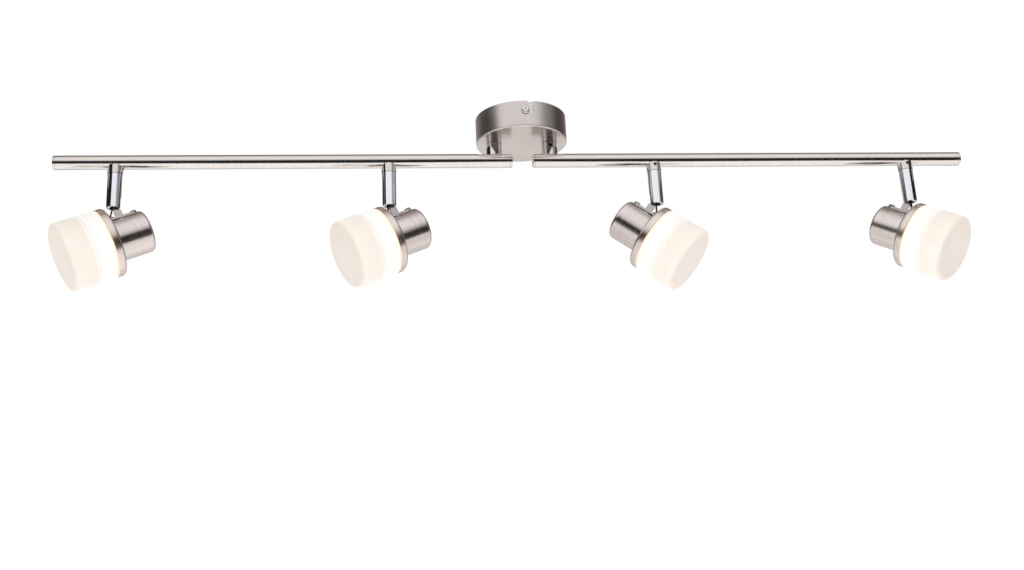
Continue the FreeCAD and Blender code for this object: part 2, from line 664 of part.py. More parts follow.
def lamp_flange():
    """Dish that carries the LED board and the shade, with a boss that fits in the housing's mouth."""
    boss = housing_bore - FIT_GAP
    dish = FLANGE_RADIUS - FLANGE_WALL
    profile = [(-FLANGE_BOSS_LENGTH, boss - FLANGE_BOSS_WALL, 0), (-FLANGE_BOSS_LENGTH, boss, 0), (0, boss, 0),
               (0, FLANGE_RADIUS, FLANGE_REAR_ROUND), (FLANGE_WIDTH, FLANGE_RADIUS, FLANGE_FRONT_ROUND),
               (FLANGE_WIDTH, dish, 0), (FLANGE_BACK, dish, 0), (FLANGE_BACK, FLANGE_LEAD_HOLE, 0), (0, FLANGE_LEAD_HOLE, 0),
               (0, boss - FLANGE_BOSS_WALL, 0)]
    return [on_lamp(turned(profile))]


def on_top(back, radius, low, high):
    """Upright rod on the lamp's top line, a distance behind the flange; heights are from the lamp's axis."""
    return upright(radius, low, high, -back)


def lamp_housing():
    rear = -HOUSING_LENGTH
    shell = turned([(rear, 0, 0), (rear, HOUSING_RADIUS, HOUSING_REAR_ROUND), (0, HOUSING_RADIUS, 0),
                    (0, housing_bore, 0), (rear + HOUSING_WALL, housing_bore, HOUSING_REAR_ROUND - HOUSING_WALL),
                    (rear + HOUSING_WALL, 0, 0)])
    rail_top = -DRIVER_DROP - DRIVER_THICKNESS - FIT_GAP
    inside = rod(housing_bore + HOUSING_WALL / 2, point(rear + HOUSING_WALL, 0, 0),
                 point(-FLANGE_BOSS_LENGTH - 1, 0, 0))
    for side in (-1, 1):
        edge = side * (driver_half_width() - HOUSING_RAIL_WIDTH)
        rail = box(rear, 0, min(edge, side * HOUSING_RADIUS), max(edge, side * HOUSING_RADIUS),
                   rail_top - HOUSING_RAIL_HEIGHT, rail_top)
        shell = shell.fuse(rail.common(inside))
    shell = shell.cut(on_top(strap_screw_back, STRAP_SCREW_THREAD + FIT_GAP, 0, HOUSING_RADIUS + 1))
    return [on_lamp(shell.cut(on_top(GROMMET_BACK, GROMMET_RADIUS + FIT_GAP, 0, HOUSING_RADIUS + 1)))]


def lamp_bracket():
    """Tongue on the tilt pin, standing on a strap that lies along the top of the housing."""
    seat = HOUSING_RADIUS + FIT_GAP
    top = seat + STRAP_THICKNESS
    strap = rod(top, point(-STRAP_LENGTH, 0, 0), point(-FIT_GAP, 0, 0))
    strap = strap.cut(rod(seat, point(-STRAP_LENGTH - 1, 0, 0), point(1, 0, 0)))
    half = STRAP_WIDTH / 2
    plan = box(half - STRAP_LENGTH, 0, -half, half, 0, top + 1)
    strap = strap.common(plan.fuse(upright(half, 0, top + 1, half - STRAP_LENGTH)))
    tongue = plate(tongue_outline(top - STRAP_THICKNESS / 2 - LAMP_DROP), TONGUE_THICKNESS)
    strap = strap.cut([on_top(strap_screw_back, STRAP_SCREW_THREAD + FIT_GAP, 0, top + 1),
                       on_top(GROMMET_BACK, GROMMET_RADIUS + FIT_GAP, 0, top + 1)])
    bracket = on_lamp(strap).fuse(tongue).removeSplitter()
    return [bracket.cut(rod(PIN_RADIUS + RUNNING_GAP, point(0, -STEM_RADIUS, 0), point(0, STEM_RADIUS, 0)))]


def tongue_outline(foot):
    head = TONGUE_HEAD_RADIUS
    wide = TONGUE_HALF_WIDTH
    shoulder = -TONGUE_SHOULDER_DROP
    round_head = head - 0.01
    return [(-head, head, round_head), (-head, shoulder, TONGUE_SHOULDER_ROUND / 2),
            (-wide, shoulder, TONGUE_SHOULDER_ROUND), (-wide, foot, 0), (wide, foot, 0),
            (wide, shoulder, TONGUE_SHOULDER_ROUND), (head, shoulder, TONGUE_SHOULDER_ROUND / 2),
            (head, head, round_head)]


def bracket_screw():
    screw = pan_head_screw(STRAP_SCREW_THREAD, STRAP_THICKNESS + HOUSING_WALL + STRAP_SCREW_PAST,
                           STRAP_SCREW_HEAD_RADIUS, STRAP_SCREW_HEAD_HEIGHT)
    screw.translate(point(-strap_screw_back, 0, HOUSING_RADIUS + FIT_GAP + STRAP_THICKNESS))
    return [on_lamp(screw)]


def led_board():
    """Round board on the flange's inner face, with rings of square LEDs and a centre hole for its leads."""
    radius = FLANGE_RADIUS - FLANGE_WALL - BOARD_MARGIN
    board = rod(radius, point(FLANGE_BACK, 0, 0), point(FLANGE_BACK + BOARD_THICKNESS, 0, 0))
    board = board.cut(rod(FLANGE_LEAD_HOLE / 2, point(0, 0, 0), point(FLANGE_WIDTH, 0, 0)))
    face = FLANGE_BACK + BOARD_THICKNESS
    half = LED_SIZE / 2
    solids = [on_lamp(board)]
    for ring_radius, count in LED_RINGS:
        for i in range(count):
            led = box(face, face + LED_HEIGHT, -half, half, ring_radius - half, ring_radius + half)
            led.rotate(point(0, 0, 0), X_AXIS, 360 * i / count)
            solids.append(on_lamp(led))
    return solids


def driver_half_width():
    """Half the driver board's width: its lower edges just clear the round bore."""
    return math.sqrt(housing_bore ** 2 - (DRIVER_DROP + DRIVER_THICKNESS) ** 2) - DRIVER_SIDE_GAP


def driver_rear():
    """Place of the driver board's rear edge: clear of the round inside corner of the housing."""
    return HOUSING_WALL + DRIVER_REAR_GAP - HOUSING_LENGTH


def driver_terminal_front():
    return driver_rear() + DRIVER_LENGTH - DRIVER_TERMINAL_SETBACK


def lamp_driver():
    """LED driver: a board that rests on the housing's rails, with the parts that stand on it."""
    rear = driver_rear()
    front = driver_terminal_front()
    half = driver_half_width()
    base = -DRIVER_DROP
    reach = DRIVER_TERMINAL_WIDTH / 2
    board = box(rear, rear + DRIVER_LENGTH, -half, half, base - DRIVER_THICKNESS, base)
    transformer = box(rear + TRANSFORMER_BACK, rear + TRANSFORMER_BACK + TRANSFORMER_LENGTH,
                      -TRANSFORMER_WIDTH / 2, TRANSFORMER_WIDTH / 2, base, base + TRANSFORMER_HEIGHT)
    capacitor = upright(CAPACITOR_RADIUS, base, base + CAPACITOR_HEIGHT,
                        rear + CAPACITOR_BACK, CAPACITOR_SIDE)
    choke = upright(CHOKE_RADIUS, base, base + CHOKE_HEIGHT, rear + CHOKE_BACK, CHOKE_SIDE)
    terminals = box(front - DRIVER_TERMINAL_LENGTH, front, -reach, reach, base, base + DRIVER_TERMINAL_HEIGHT)
    return [on_lamp(solid) for solid in (board, transformer, capacitor, choke, terminals)]


def lamp_shade():
    """Frosted cup: its rear spigot fits in the flange, and a groove runs round its side."""
    rear = FLANGE_WIDTH + SHADE_GAP
    front = rear + SHADE_LENGTH
    inner = FLANGE_RADIUS - SHADE_WALL
    spigot = FLANGE_RADIUS - FLANGE_WALL - RUNNING_GAP
    groove = (SHADE_GROOVE_AHEAD - SHADE_GROOVE_WIDTH / 2, SHADE_GROOVE_AHEAD + SHADE_GROOVE_WIDTH / 2)
    groove_floor = FLANGE_RADIUS - SHADE_GROOVE_DEPTH
    spigot_bore = spigot - SHADE_SPIGOT_WALL
    web = rear + SHADE_REAR_WEB
    profile = [(rear - SHADE_SPIGOT_LENGTH, spigot_bore, 0), (rear - SHADE_SPIGOT_LENGTH, spigot, 0),
               (rear, spigot, 0), (rear, FLANGE_RADIUS, SHADE_REAR_ROUND),
               (groove[0], FLANGE_RADIUS, SHADE_GROOVE_ROUND), (groove[0], groove_floor, 0),
               (groove[1], groove_floor, 0), (groove[1], FLANGE_RADIUS, SHADE_GROOVE_ROUND),
               (front, FLANGE_RADIUS, SHADE_FRONT_ROUND), (front, 0, 0), (front - SHADE_WALL, 0, 0),
               (front - SHADE_WALL, inner, SHADE_FRONT_ROUND - SHADE_WALL), (web, inner, 0),
               (web, spigot_bore, 0)]
    return [on_lamp(turned(profile))]


def lamp_leads():
    """Leads from beside the tongue through the grommet to the driver, and from there to the LED board."""
    strap_top = HOUSING_RADIUS + FIT_GAP + STRAP_THICKNESS
    enter_x = FLANGE_AHEAD - GROMMET_BACK
    enter_z = strap_top - LAMP_DROP
    terminal_z = DRIVER_TERMINAL_HEIGHT - DRIVER_DROP - LAMP_DROP
    knee_x = FLEX_AHEAD + FLEX_KNEE_AHEAD_SHARE * (enter_x - FLEX_AHEAD)
    knee_z = FLEX_KNEE_DROP_SHARE * enter_z
    solids = []
    for side in (-1, 1):
        top = FLEX_TOP_SPREAD * side
        low = FLEX_LOW_SPREAD * side
        route = [point(FLEX_AHEAD, top, FLEX_RISE), point(FLEX_AHEAD, top, -FLEX_FALL),
                 point(knee_x, FLEX_KNEE_SPREAD_SHARE * top, knee_z),
                 point(enter_x, low, enter_z + FLEX_STAND), point(enter_x, low, terminal_z)]
        solids.append(lead(route, FLEX_RADIUS, FLEX_BEND))
    solids += [on_lamp(shape) for shape in board_leads()]
    grommet = on_top(GROMMET_BACK, GROMMET_RADIUS, HOUSING_RADIUS - HOUSING_WALL, strap_top)
    grommet = grommet.fuse(on_top(GROMMET_BACK, GROMMET_RIM_RADIUS, strap_top, strap_top + GROMMET_RIM_HEIGHT))
    bore = on_top(GROMMET_BACK, GROMMET_BORE_RADIUS, 0, strap_top + 2)
    return solids + [on_lamp(grommet.cut(bore).removeSplitter())]


def board_leads():
    """Two leads from the driver's board through the flange's centre hole to the LED board."""
    start = driver_terminal_front()
    return [rod(LEAD_RADIUS, point(start, y, -BOARD_LEAD_DROP), point(FLANGE_BACK, y, -BOARD_LEAD_DROP))
            for y in (-LEAD_PITCH / 2, LEAD_PITCH / 2)]


# Output --------------------------------------------------------------------------------------------

def placed(solids, place):
    """Copies of solids moved by a placement."""
    copies = []
    for solid in solids:
        copy = solid.copy()
        copy.Placement = place.multiply(copy.Placement)
        copies.append(copy)
    return copies


def save(name, solids):
    shape = solids[0] if len(solids) == 1 else Part.makeCompound(solids)
    shape.exportStep("parts/%s.step" % name)


def arm_place(side):
    x = math.copysign(SWIVEL_SPACING / 2, math.cos(math.radians(ARM_TURN[side])))
    return FreeCAD.Placement(point(x, 0, -ARM_AXIS_DROP), FreeCAD.Rotation(Z_AXIS, ARM_TURN[side]))


def stem_place(side, stem, pan):
    pivot = arm_place(side).multVec(point(stem, 0, 0)) - point(0, 0, pivot_drop)
    return FreeCAD.Placement(pivot, FreeCAD.Rotation(Z_AXIS, pan))


def build():
    os.makedirs("parts", exist_ok=True)
    save("ceiling_bracket", [ceiling_bracket()])
    save("canopy_cup", [canopy_cup()])
    save("side_screws", side_screws())
    save("earth_screw", earth_screw())
    save("terminal_block", terminal_block())
    save("swivel_spigots", swivel_spigots())
    save("spigot_nuts", spigot_nuts())
    save("canopy_leads", canopy_leads())
    for side in ARM_TURN:
        place = arm_place(side)
        save(side + "_arm", placed(arm(side), place))
        save(side + "_end_caps", placed(end_caps(), place))
        save(side + "_grub_screws", placed(grub_screws(side), place))
        save(side + "_arm_leads", placed(arm_leads(side), place))
    stem_pieces = {"fork": stem_fork(), "pivot_pin": pivot_pin()}
    lamp_pieces = {"bracket": lamp_bracket(), "bracket_screw": bracket_screw(), "housing": lamp_housing(),
                   "flange": lamp_flange(), "led_board": led_board(), "driver": lamp_driver(),
                   "shade": lamp_shade(), "leads": lamp_leads()}
    for number, (side, stem, pan, tilt, screw) in enumerate(LAMPS, 1):
        place = stem_place(side, stem, pan)
        save("stem_%d_tube" % number, placed(grooved_stem_tube(side, screw), place))
        for name, solids in stem_pieces.items():
            save("stem_%d_%s" % (number, name), placed(solids, place))
        tilted = place.multiply(FreeCAD.Placement(point(0, 0, 0), FreeCAD.Rotation(Y_AXIS, tilt)))
        for name, solids in lamp_pieces.items():
            save("lamp_%d_%s" % (number, name), placed(solids, tilted))


build()
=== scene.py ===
import bpy
import json
import math
from mathutils import Matrix, Vector

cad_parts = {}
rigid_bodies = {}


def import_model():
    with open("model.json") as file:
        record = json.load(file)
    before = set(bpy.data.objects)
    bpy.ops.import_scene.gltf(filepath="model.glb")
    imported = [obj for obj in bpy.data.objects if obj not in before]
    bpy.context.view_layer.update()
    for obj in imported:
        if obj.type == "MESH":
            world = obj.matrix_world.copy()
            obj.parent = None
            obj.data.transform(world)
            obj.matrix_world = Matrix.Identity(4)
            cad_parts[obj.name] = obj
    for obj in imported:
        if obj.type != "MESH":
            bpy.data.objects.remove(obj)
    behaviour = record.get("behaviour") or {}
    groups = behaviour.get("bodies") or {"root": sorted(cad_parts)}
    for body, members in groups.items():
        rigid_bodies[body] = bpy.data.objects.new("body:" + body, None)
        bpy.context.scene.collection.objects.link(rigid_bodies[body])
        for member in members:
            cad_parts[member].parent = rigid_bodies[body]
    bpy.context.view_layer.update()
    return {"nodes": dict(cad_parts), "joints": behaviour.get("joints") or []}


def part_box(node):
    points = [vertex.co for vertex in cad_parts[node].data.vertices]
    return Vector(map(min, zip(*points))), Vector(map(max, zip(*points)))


# Materials, studio and camera for the four-lamp ceiling spotlight bar. Metres, in the part's own
# frame: the origin is the middle of the canopy in the ceiling plane, +Z is up, -Y is the front.

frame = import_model()
nodes = frame["nodes"]
joints = {joint["name"]: joint for joint in frame["joints"]}

LAMP_COUNT = 4
TILT_STRAIGHT_DOWN = 90.0

# Camera: lens and sensor in mm, shift as a share of the picture's width, distance in metres, angles in degrees
LENS = 45.1898
CAMERA_DISTANCE = 1.100
CAMERA_ELEVATION = 18.04
CAMERA_YAW = 6.26
CAMERA_ROLL = -2.70
CAMERA_TARGET = Vector((-0.01375, 0.0, -0.14003))
CAMERA_SHIFT = -0.01494
SENSOR = 36.0

# Studio
FLOOR_DROP = 2.4
FLOOR_SIZE = 7.0
TENT_STRENGTH = 1.0
# Tone of the tent by the angle in degrees up from the front horizon, over the top and round below
TENT = ((0, (0.10, 0.09, 0.09)), (8, (0.55, 0.53, 0.52)), (20, (0.98, 0.95, 0.94)), (36, (1.10, 1.07, 1.06)),
        (62, (1.05, 1.02, 1.0)), (80, (0.72, 0.67, 0.65)), (96, (0.28, 0.24, 0.23)), (148, (0.24, 0.20, 0.19)),
        (164, (0.55, 0.50, 0.48)), (182, (0.60, 0.55, 0.53)), (196, (0.85, 0.80, 0.78)),
        (300, (1.0, 0.95, 0.93)), (326, (0.9, 0.86, 0.84)), (332, (0.10, 0.09, 0.09)))
# How much of the tent is left toward the sides, by the share of the way from -X to +X
SIDES = ((0.0, 0.08), (0.03, 0.10), (0.06, 0.65), (0.12, 1.0),
         (0.74, 1.0), (0.82, 0.62), (0.90, 0.26), (1.0, 0.24))
# Where SIDES counts, by the height of the direction: 0 is straight down, 0.5 is level, 1 is straight up
SIDES_BAND = ((0.5, 0.0), (0.53, 1.0), (0.80, 1.0), (0.86, 0.0))
BLACK = (0.015, 0.015, 0.015)
SIDE_BLACK = (0.02, 0.02, 0.02)
FLOOR_TONE = (0.90, 0.87, 0.85)
# Black cards: centre, width, height, the way they face, tone
CARDS = {
    "front_card": ((0, -1.25, -0.46), 2.6, 0.86, (0, 1, 0), BLACK),
    "right_front_card": ((1.85, -1.25, -0.66), 1.9, 1.26, (0, 1, 0), BLACK),
    "left_front_card": ((-2.3, -1.25, -0.06), 2.8, 0.66, (0, 1, 0), BLACK),
    "left_card": ((-0.52, 0.17, 0.12), 0.86, 0.30, (1, 0, 0), SIDE_BLACK),
    "right_card": ((0.52, 0.04, 0.035), 0.50, 0.13, (-1, 0, 0), SIDE_BLACK),
}
# The softbox that lights the floor: height and side in metres, power in watts
WASH_HEIGHT = -1.2
WASH_SIZE = 6.0
WASH_POWER = 125.0

# Brushing: how much slower the streaks change along a stroke, and the scale of the uneven patches
ALONG_STROKE = 0.02
PATCH_SCALE = 26.0

# Canopy: how rough the wall and the face below are
WALL_ROUGHNESS = 0.30
FACE_ROUGHNESS = 0.23

# Shades: tone of the glow by the distance in mm ahead of the flange's middle, and over the front face. The last
# stop, at the rounded front edge, darkens the glow as a painted shade line
SHADE_GLOW = ((3.0, (1.0, 0.84, 0.60)), (5.5, (1.0, 0.97, 0.89)), (9.0, (1.0, 1.0, 0.98)),
              (16.4, (1.0, 0.98, 0.95)), (16.8, (0.91, 0.89, 0.85)), (19.8, (0.89, 0.87, 0.82)),
              (20.2, (1.0, 1.0, 0.98)), (20.8, (0.87, 0.80, 0.71)), (30.0, (0.89, 0.82, 0.73)),
              (38.0, (0.93, 0.86, 0.78)), (40.4, (0.74, 0.65, 0.55)))
# The distance in mm that the glow's tones are spread over, from the flange's middle on
SHADE_GLOW_SPAN = 50
# Painted light and shade: the glow's strength by the way the wall faces, from straight down to straight up. It
# is weakest on the wall that faces down and strongest just below level
SHADE_GLOW_PAINTED_SHADING = ((0.02, 0.60), (0.18, 0.72), (0.36, 0.81), (0.62, 0.78), (0.90, 0.74))
# The front face's glow: a darker rim tone that is painted shade, and a lighter middle tone
SHADE_FACE_RIM_PAINTED_SHADE = (0.665, 0.595, 0.52)
SHADE_FACE_CENTRE = (0.70, 0.645, 0.59)
# Radii in metres: the face's lighter middle tone turns to its darker rim tone, which is painted shade, and the
# face ends
SHADE_CENTRE_FADE = (0.012, 0.028)
SHADE_FACE_EDGE = (0.0255, 0.0270)
# How far in metres behind the shade's front point the face fades in
SHADE_FACE_DEPTH = (0.0006, 0.0002)
# The acrylic itself: its darker and its lighter tone, its roughness, and how far light scatters in it
SHADE_TONES = ((0.41, 0.395, 0.38), (0.45, 0.435, 0.42))
SHADE_ROUGHNESS = (0.38, 0.5)
SHADE_SCATTER = 0.3
SHADE_SCATTER_REACH = 0.004
# Flanges: a painted reflection, a warm emission on the metal beside the shade that stands in for the lit
# shade's light on it, from where to where in metres ahead of the flange's middle, and its colour
LIP = (-0.0015, 0.0035)
LIP_PAINTED_SHINE = (0.11, 0.050, 0.015)

# Metals
NICKEL = (0.725, 0.705, 0.685)
CANOPY_NICKEL = (0.685, 0.645, 0.63)
HOUSING_NICKEL = (0.71, 0.66, 0.645)
FLANGE_NICKEL = (0.71, 0.66, 0.64)
CHROME = (0.835, 0.87, 0.935)
ZINC = (0.96, 0.965, 0.97)


# ---------------------------------------------------------------- node helpers

class Tree:
    """A material's node tree, with short calls for the nodes that the materials share."""

    def __init__(self, name):
        self.material = bpy.data.materials.new(name)
        self.material.use_nodes = True
        self.tree = self.material.node_tree
        self.tree.nodes.clear()
        self.output = self.tree.nodes.new("ShaderNodeOutputMaterial")
        self.shader = self.tree.nodes.new("ShaderNodeBsdfPrincipled")
        self.join(self.shader.outputs["BSDF"], self.output.inputs["Surface"])
        self.coordinates = self.tree.nodes.new("ShaderNodeTexCoord")

    def join(self, source, target):
        self.tree.links.new(source, target)

    def put(self, value, target):
        """Links a socket, or sets a plain value."""
        if isinstance(value, bpy.types.NodeSocket):
            self.join(value, target)
        else:
            target.default_value = value

    def place(self):
        return self.coordinates.outputs["Object"]

    def normal(self):
        return self.coordinates.outputs["Normal"]

    def math(self, operation, *values):
        node = self.tree.nodes.new("ShaderNodeMath")
        node.operation = operation
        for i, value in enumerate(values):
            self.put(value, node.inputs[i])
        return node.outputs[0]

    def vector(self, operation, *values):
        node = self.tree.nodes.new("ShaderNodeVectorMath")
        node.operation = operation
        for i, value in enumerate(values):
            self.put(value, node.inputs["Scale"] if operation == "SCALE" and i == 1 else node.inputs[i])
        return node.outputs["Value"] if operation in ("DOT_PRODUCT", "LENGTH") else node.outputs["Vector"]

    def combine(self, x, y, z):
        node = self.tree.nodes.new("ShaderNodeCombineXYZ")
        for value, key in ((x, "X"), (y, "Y"), (z, "Z")):
            self.put(value, node.inputs[key])
        return node.outputs[0]

    def split(self, vector):
        node = self.tree.nodes.new("ShaderNodeSeparateXYZ")
        self.join(vector, node.inputs[0])
        return node.outputs

    def noise(self, vector, scale, detail=2.0, roughness=0.5):
        node = self.tree.nodes.new("ShaderNodeTexNoise")
        self.join(vector, node.inputs["Vector"])
        node.inputs["Scale"].default_value = scale
        node.inputs["Detail"].default_value = detail
        node.inputs["Roughness"].default_value = roughness
        return node.outputs["Fac"]

    def scale_range(self, value, low, high, new_low, new_high):
        node = self.tree.nodes.new("ShaderNodeMapRange")
        node.clamp = True
        for key, item in (("Value", value), ("From Min", low), ("From Max", high),
                          ("To Min", new_low), ("To Max", new_high)):
            self.put(item, node.inputs[key])
        return node.outputs["Result"]

    def ramp(self, value, *stops):
        """stops: (position, (r, g, b)) in rising order."""
        node = self.tree.nodes.new("ShaderNodeValToRGB")
        self.join(value, node.inputs["Fac"])
        elements = node.color_ramp.elements
        while len(elements) < len(stops):
            elements.new(0.5)
        for element, (position, colour) in zip(elements, stops):
            element.position = position
            element.color = (*colour, 1.0)
        return node.outputs["Color"]

    def mix(self, share, first, second):
        node = self.tree.nodes.new("ShaderNodeMix")
        node.data_type = "RGBA"
        self.put(share, node.inputs[0])
        for value, socket in ((first, node.inputs[6]), (second, node.inputs[7])):
            self.put(value if isinstance(value, bpy.types.NodeSocket) else (*value, 1.0), socket)
        return node.outputs[2]

    def bump(self, height, strength, distance):
        node = self.tree.nodes.new("ShaderNodeBump")
        node.inputs["Strength"].default_value = strength
        node.inputs["Distance"].default_value = distance
        self.join(height, node.inputs["Height"])
        self.join(node.outputs["Normal"], self.shader.inputs["Normal"])

    def set(self, **values):
        for key, value in values.items():
            socket = self.shader.inputs[key.replace("_", " ")]
            if isinstance(value, tuple) and len(value) == 3 and socket.type == "RGBA":
                value = (*value, 1.0)
            self.put(value, socket)


def dress(material, *names):
    for name in names:
        mesh = nodes[name].data
        mesh.materials.clear()
        mesh.materials.append(material)


def lamp_nodes(part):
    return [f"lamp_{k}_{part}" for k in range(1, LAMP_COUNT + 1)]


def stem_nodes(part):
    return [f"stem_{k}_{part}" for k in range(1, LAMP_COUNT + 1)]


def lamp_axis(k):
    """Where lamp k's light points, from its tilt joint's axis and range."""
    tilt = joints[f"lamp_{k}_tilt"]
    pan_angle = math.atan2(-tilt["axis"][0], tilt["axis"][1])
    down = math.radians(TILT_STRAIGHT_DOWN - tilt["range_deg"][1])
    return Vector((math.cos(pan_angle) * math.cos(down), math.sin(pan_angle) * math.cos(down), -math.sin(down)))


def middle(name):
    low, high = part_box(name)
    return (low + high) / 2


def shade_front(k, origin, axis):
    """How far lamp k's shade reaches ahead of a point on its axis."""
    mesh = bpy.data.objects[f"lamp_{k}_shade"].data
    return max((vertex.co - origin).dot(axis) for vertex in mesh.vertices)


# ---------------------------------------------------------------- materials

def brushed(tree, along, colour, roughness, streak=1400.0, depth=0.00002, strength=0.12):
    """Metal with fine brushing. along is a vector that hardly changes along the brush strokes."""
    fine = tree.noise(along, streak, detail=3.0, roughness=0.6)
    broad = tree.noise(tree.place(), PATCH_SCALE, detail=3.0)
    bright = tuple(min(1.0, c * 1.06) for c in colour)
    dark = tuple(c * 0.88 for c in colour)
    tone = tree.math("ADD", tree.math("MULTIPLY", fine, 0.65), tree.math("MULTIPLY", broad, 0.35))
    tree.set(Base_Color=tree.ramp(tone, (0.3, dark), (0.7, bright)), Metallic=1.0,
             Roughness=tree.scale_range(tone, 0.3, 0.7, roughness * 0.85, roughness * 1.2))
    tree.bump(fine, strength, depth)
    return tree.material


def brushed_round(name, origin, axis, colour, roughness, lip=None, **detail):
    """Brushing that runs round an axis, and in straight strokes across the flat ends.

    lip: where a painted warm shine, an emission that stands in for the lit shade's light on the metal, starts
    and ends, in metres ahead of the origin."""
    tree = Tree(name)
    helper = Vector((0, 0, 1)) if abs(axis.z) < 0.9 else Vector((1, 0, 0))
    side = axis.cross(helper).normalized()
    third = axis.cross(side)
    offset = tree.vector("SUBTRACT", tree.place(), tuple(origin))
    ahead = tree.vector("DOT_PRODUCT", offset, tuple(axis))
    across = tree.vector("DOT_PRODUCT", offset, tuple(side))
    up = tree.vector("DOT_PRODUCT", offset, tuple(third))
    radial = tree.math("SQRT", tree.math("ADD", tree.math("MULTIPLY", across, across),
                                         tree.math("MULTIPLY", up, up)))
    strokes = tree.combine(tree.math("MULTIPLY", across, ALONG_STROKE), tree.math("MULTIPLY", up, ALONG_STROKE),
                           tree.math("ADD", ahead, radial))
    if lip:
        # Painted reflection: a warm emission near the flange's front edge stands in for the lit shade's light
        # on the metal
        share = tree.scale_range(ahead, *lip, 0.0, 1.0)
        tree.set(Emission_Color=tree.ramp(share, (0.0, (0.0, 0.0, 0.0)), (1.0, LIP_PAINTED_SHINE)))
        tree.shader.inputs["Emission Strength"].default_value = 1.0
    return brushed(tree, strokes, colour, roughness, **detail)


def canopy_metal():
    """Satin nickel: brushing runs round the wall and in straight strokes over the face below."""
    tree = Tree("canopy_satin_nickel")
    x, y, z = tree.split(tree.place())
    face = tree.math("ABSOLUTE", tree.split(tree.normal())[2])
    face = tree.scale_range(face, 0.6, 0.9, 0.0, 1.0)
    diagonal = tree.math("ADD", tree.math("MULTIPLY", x, 0.55), tree.math("MULTIPLY", y, 0.83))
    wall = tree.combine(tree.math("MULTIPLY", x, ALONG_STROKE), tree.math("MULTIPLY", y, ALONG_STROKE), z)
    below = tree.combine(diagonal, tree.math("MULTIPLY", x, 0.03), 0.0)
    mixer = tree.tree.nodes.new("ShaderNodeMix")
    mixer.data_type = "VECTOR"
    tree.join(face, mixer.inputs[0])
    tree.join(wall, mixer.inputs[4])
    tree.join(below, mixer.inputs[5])
    brushed(tree, mixer.outputs[1], CANOPY_NICKEL, WALL_ROUGHNESS, streak=1500.0, strength=0.25)
    uneven = tree.noise(tree.place(), PATCH_SCALE, detail=3.0)
    shine = tree.scale_range(uneven, 0.3, 0.7, 0.9, 1.15)
    smooth = tree.scale_range(face, 0.0, 1.0, WALL_ROUGHNESS, FACE_ROUGHNESS)
    tree.set(Roughness=tree.math("MULTIPLY", smooth, shine))
    return tree.material


def polished(name, colour, roughness, wear=0.3):
    """Plated and polished metal with faint wipe marks."""
    tree = Tree(name)
    marks = tree.noise(tree.place(), 55.0, detail=4.0, roughness=0.65)
    pits = tree.noise(tree.place(), 900.0, detail=2.0)
    tree.set(Base_Color=tree.ramp(marks, (0.35, tuple(c * (1 - 0.12 * wear) for c in colour)), (0.65, colour)),
             Metallic=1.0, Roughness=tree.scale_range(marks, 0.35, 0.7, roughness, roughness * (1 + wear)))
    tree.bump(pits, 0.04, 0.00001)
    return tree.material


def plastic(name, colour, roughness=0.5, grain=1800.0, depth=0.00003):
    """Moulded or coated surface with a fine grain."""
    tree = Tree(name)
    fine = tree.noise(tree.place(), grain, detail=2.0)
    patch = tree.noise(tree.place(), 90.0, detail=2.0)
    darker = tuple(c * 0.86 for c in colour)
    tree.set(Base_Color=tree.ramp(patch, (0.3, darker), (0.7, colour)),
             Roughness=tree.scale_range(fine, 0.3, 0.7, roughness * 0.85, min(1.0, roughness * 1.15)))
    tree.bump(fine, 0.25, depth)
    return tree.material


def board(name, mask, trace):
    """Circuit board: solder mask with straight copper runs under it."""
    tree = Tree(name)
    x, y, z = tree.split(tree.place())
    wave = tree.math("SINE", tree.math("MULTIPLY", tree.math("ADD", x, z), 1900.0))
    gate = tree.noise(tree.place(), 160.0, detail=1.0)
    runs = tree.math("MULTIPLY", tree.scale_range(wave, 0.55, 0.7, 0.0, 1.0),
                     tree.scale_range(gate, 0.45, 0.55, 0.0, 1.0))
    tree.set(Base_Color=tree.mix(runs, mask, trace), Roughness=tree.scale_range(gate, 0.3, 0.7, 0.3, 0.45))
    tree.bump(runs, 0.3, 0.00004)
    return tree.material


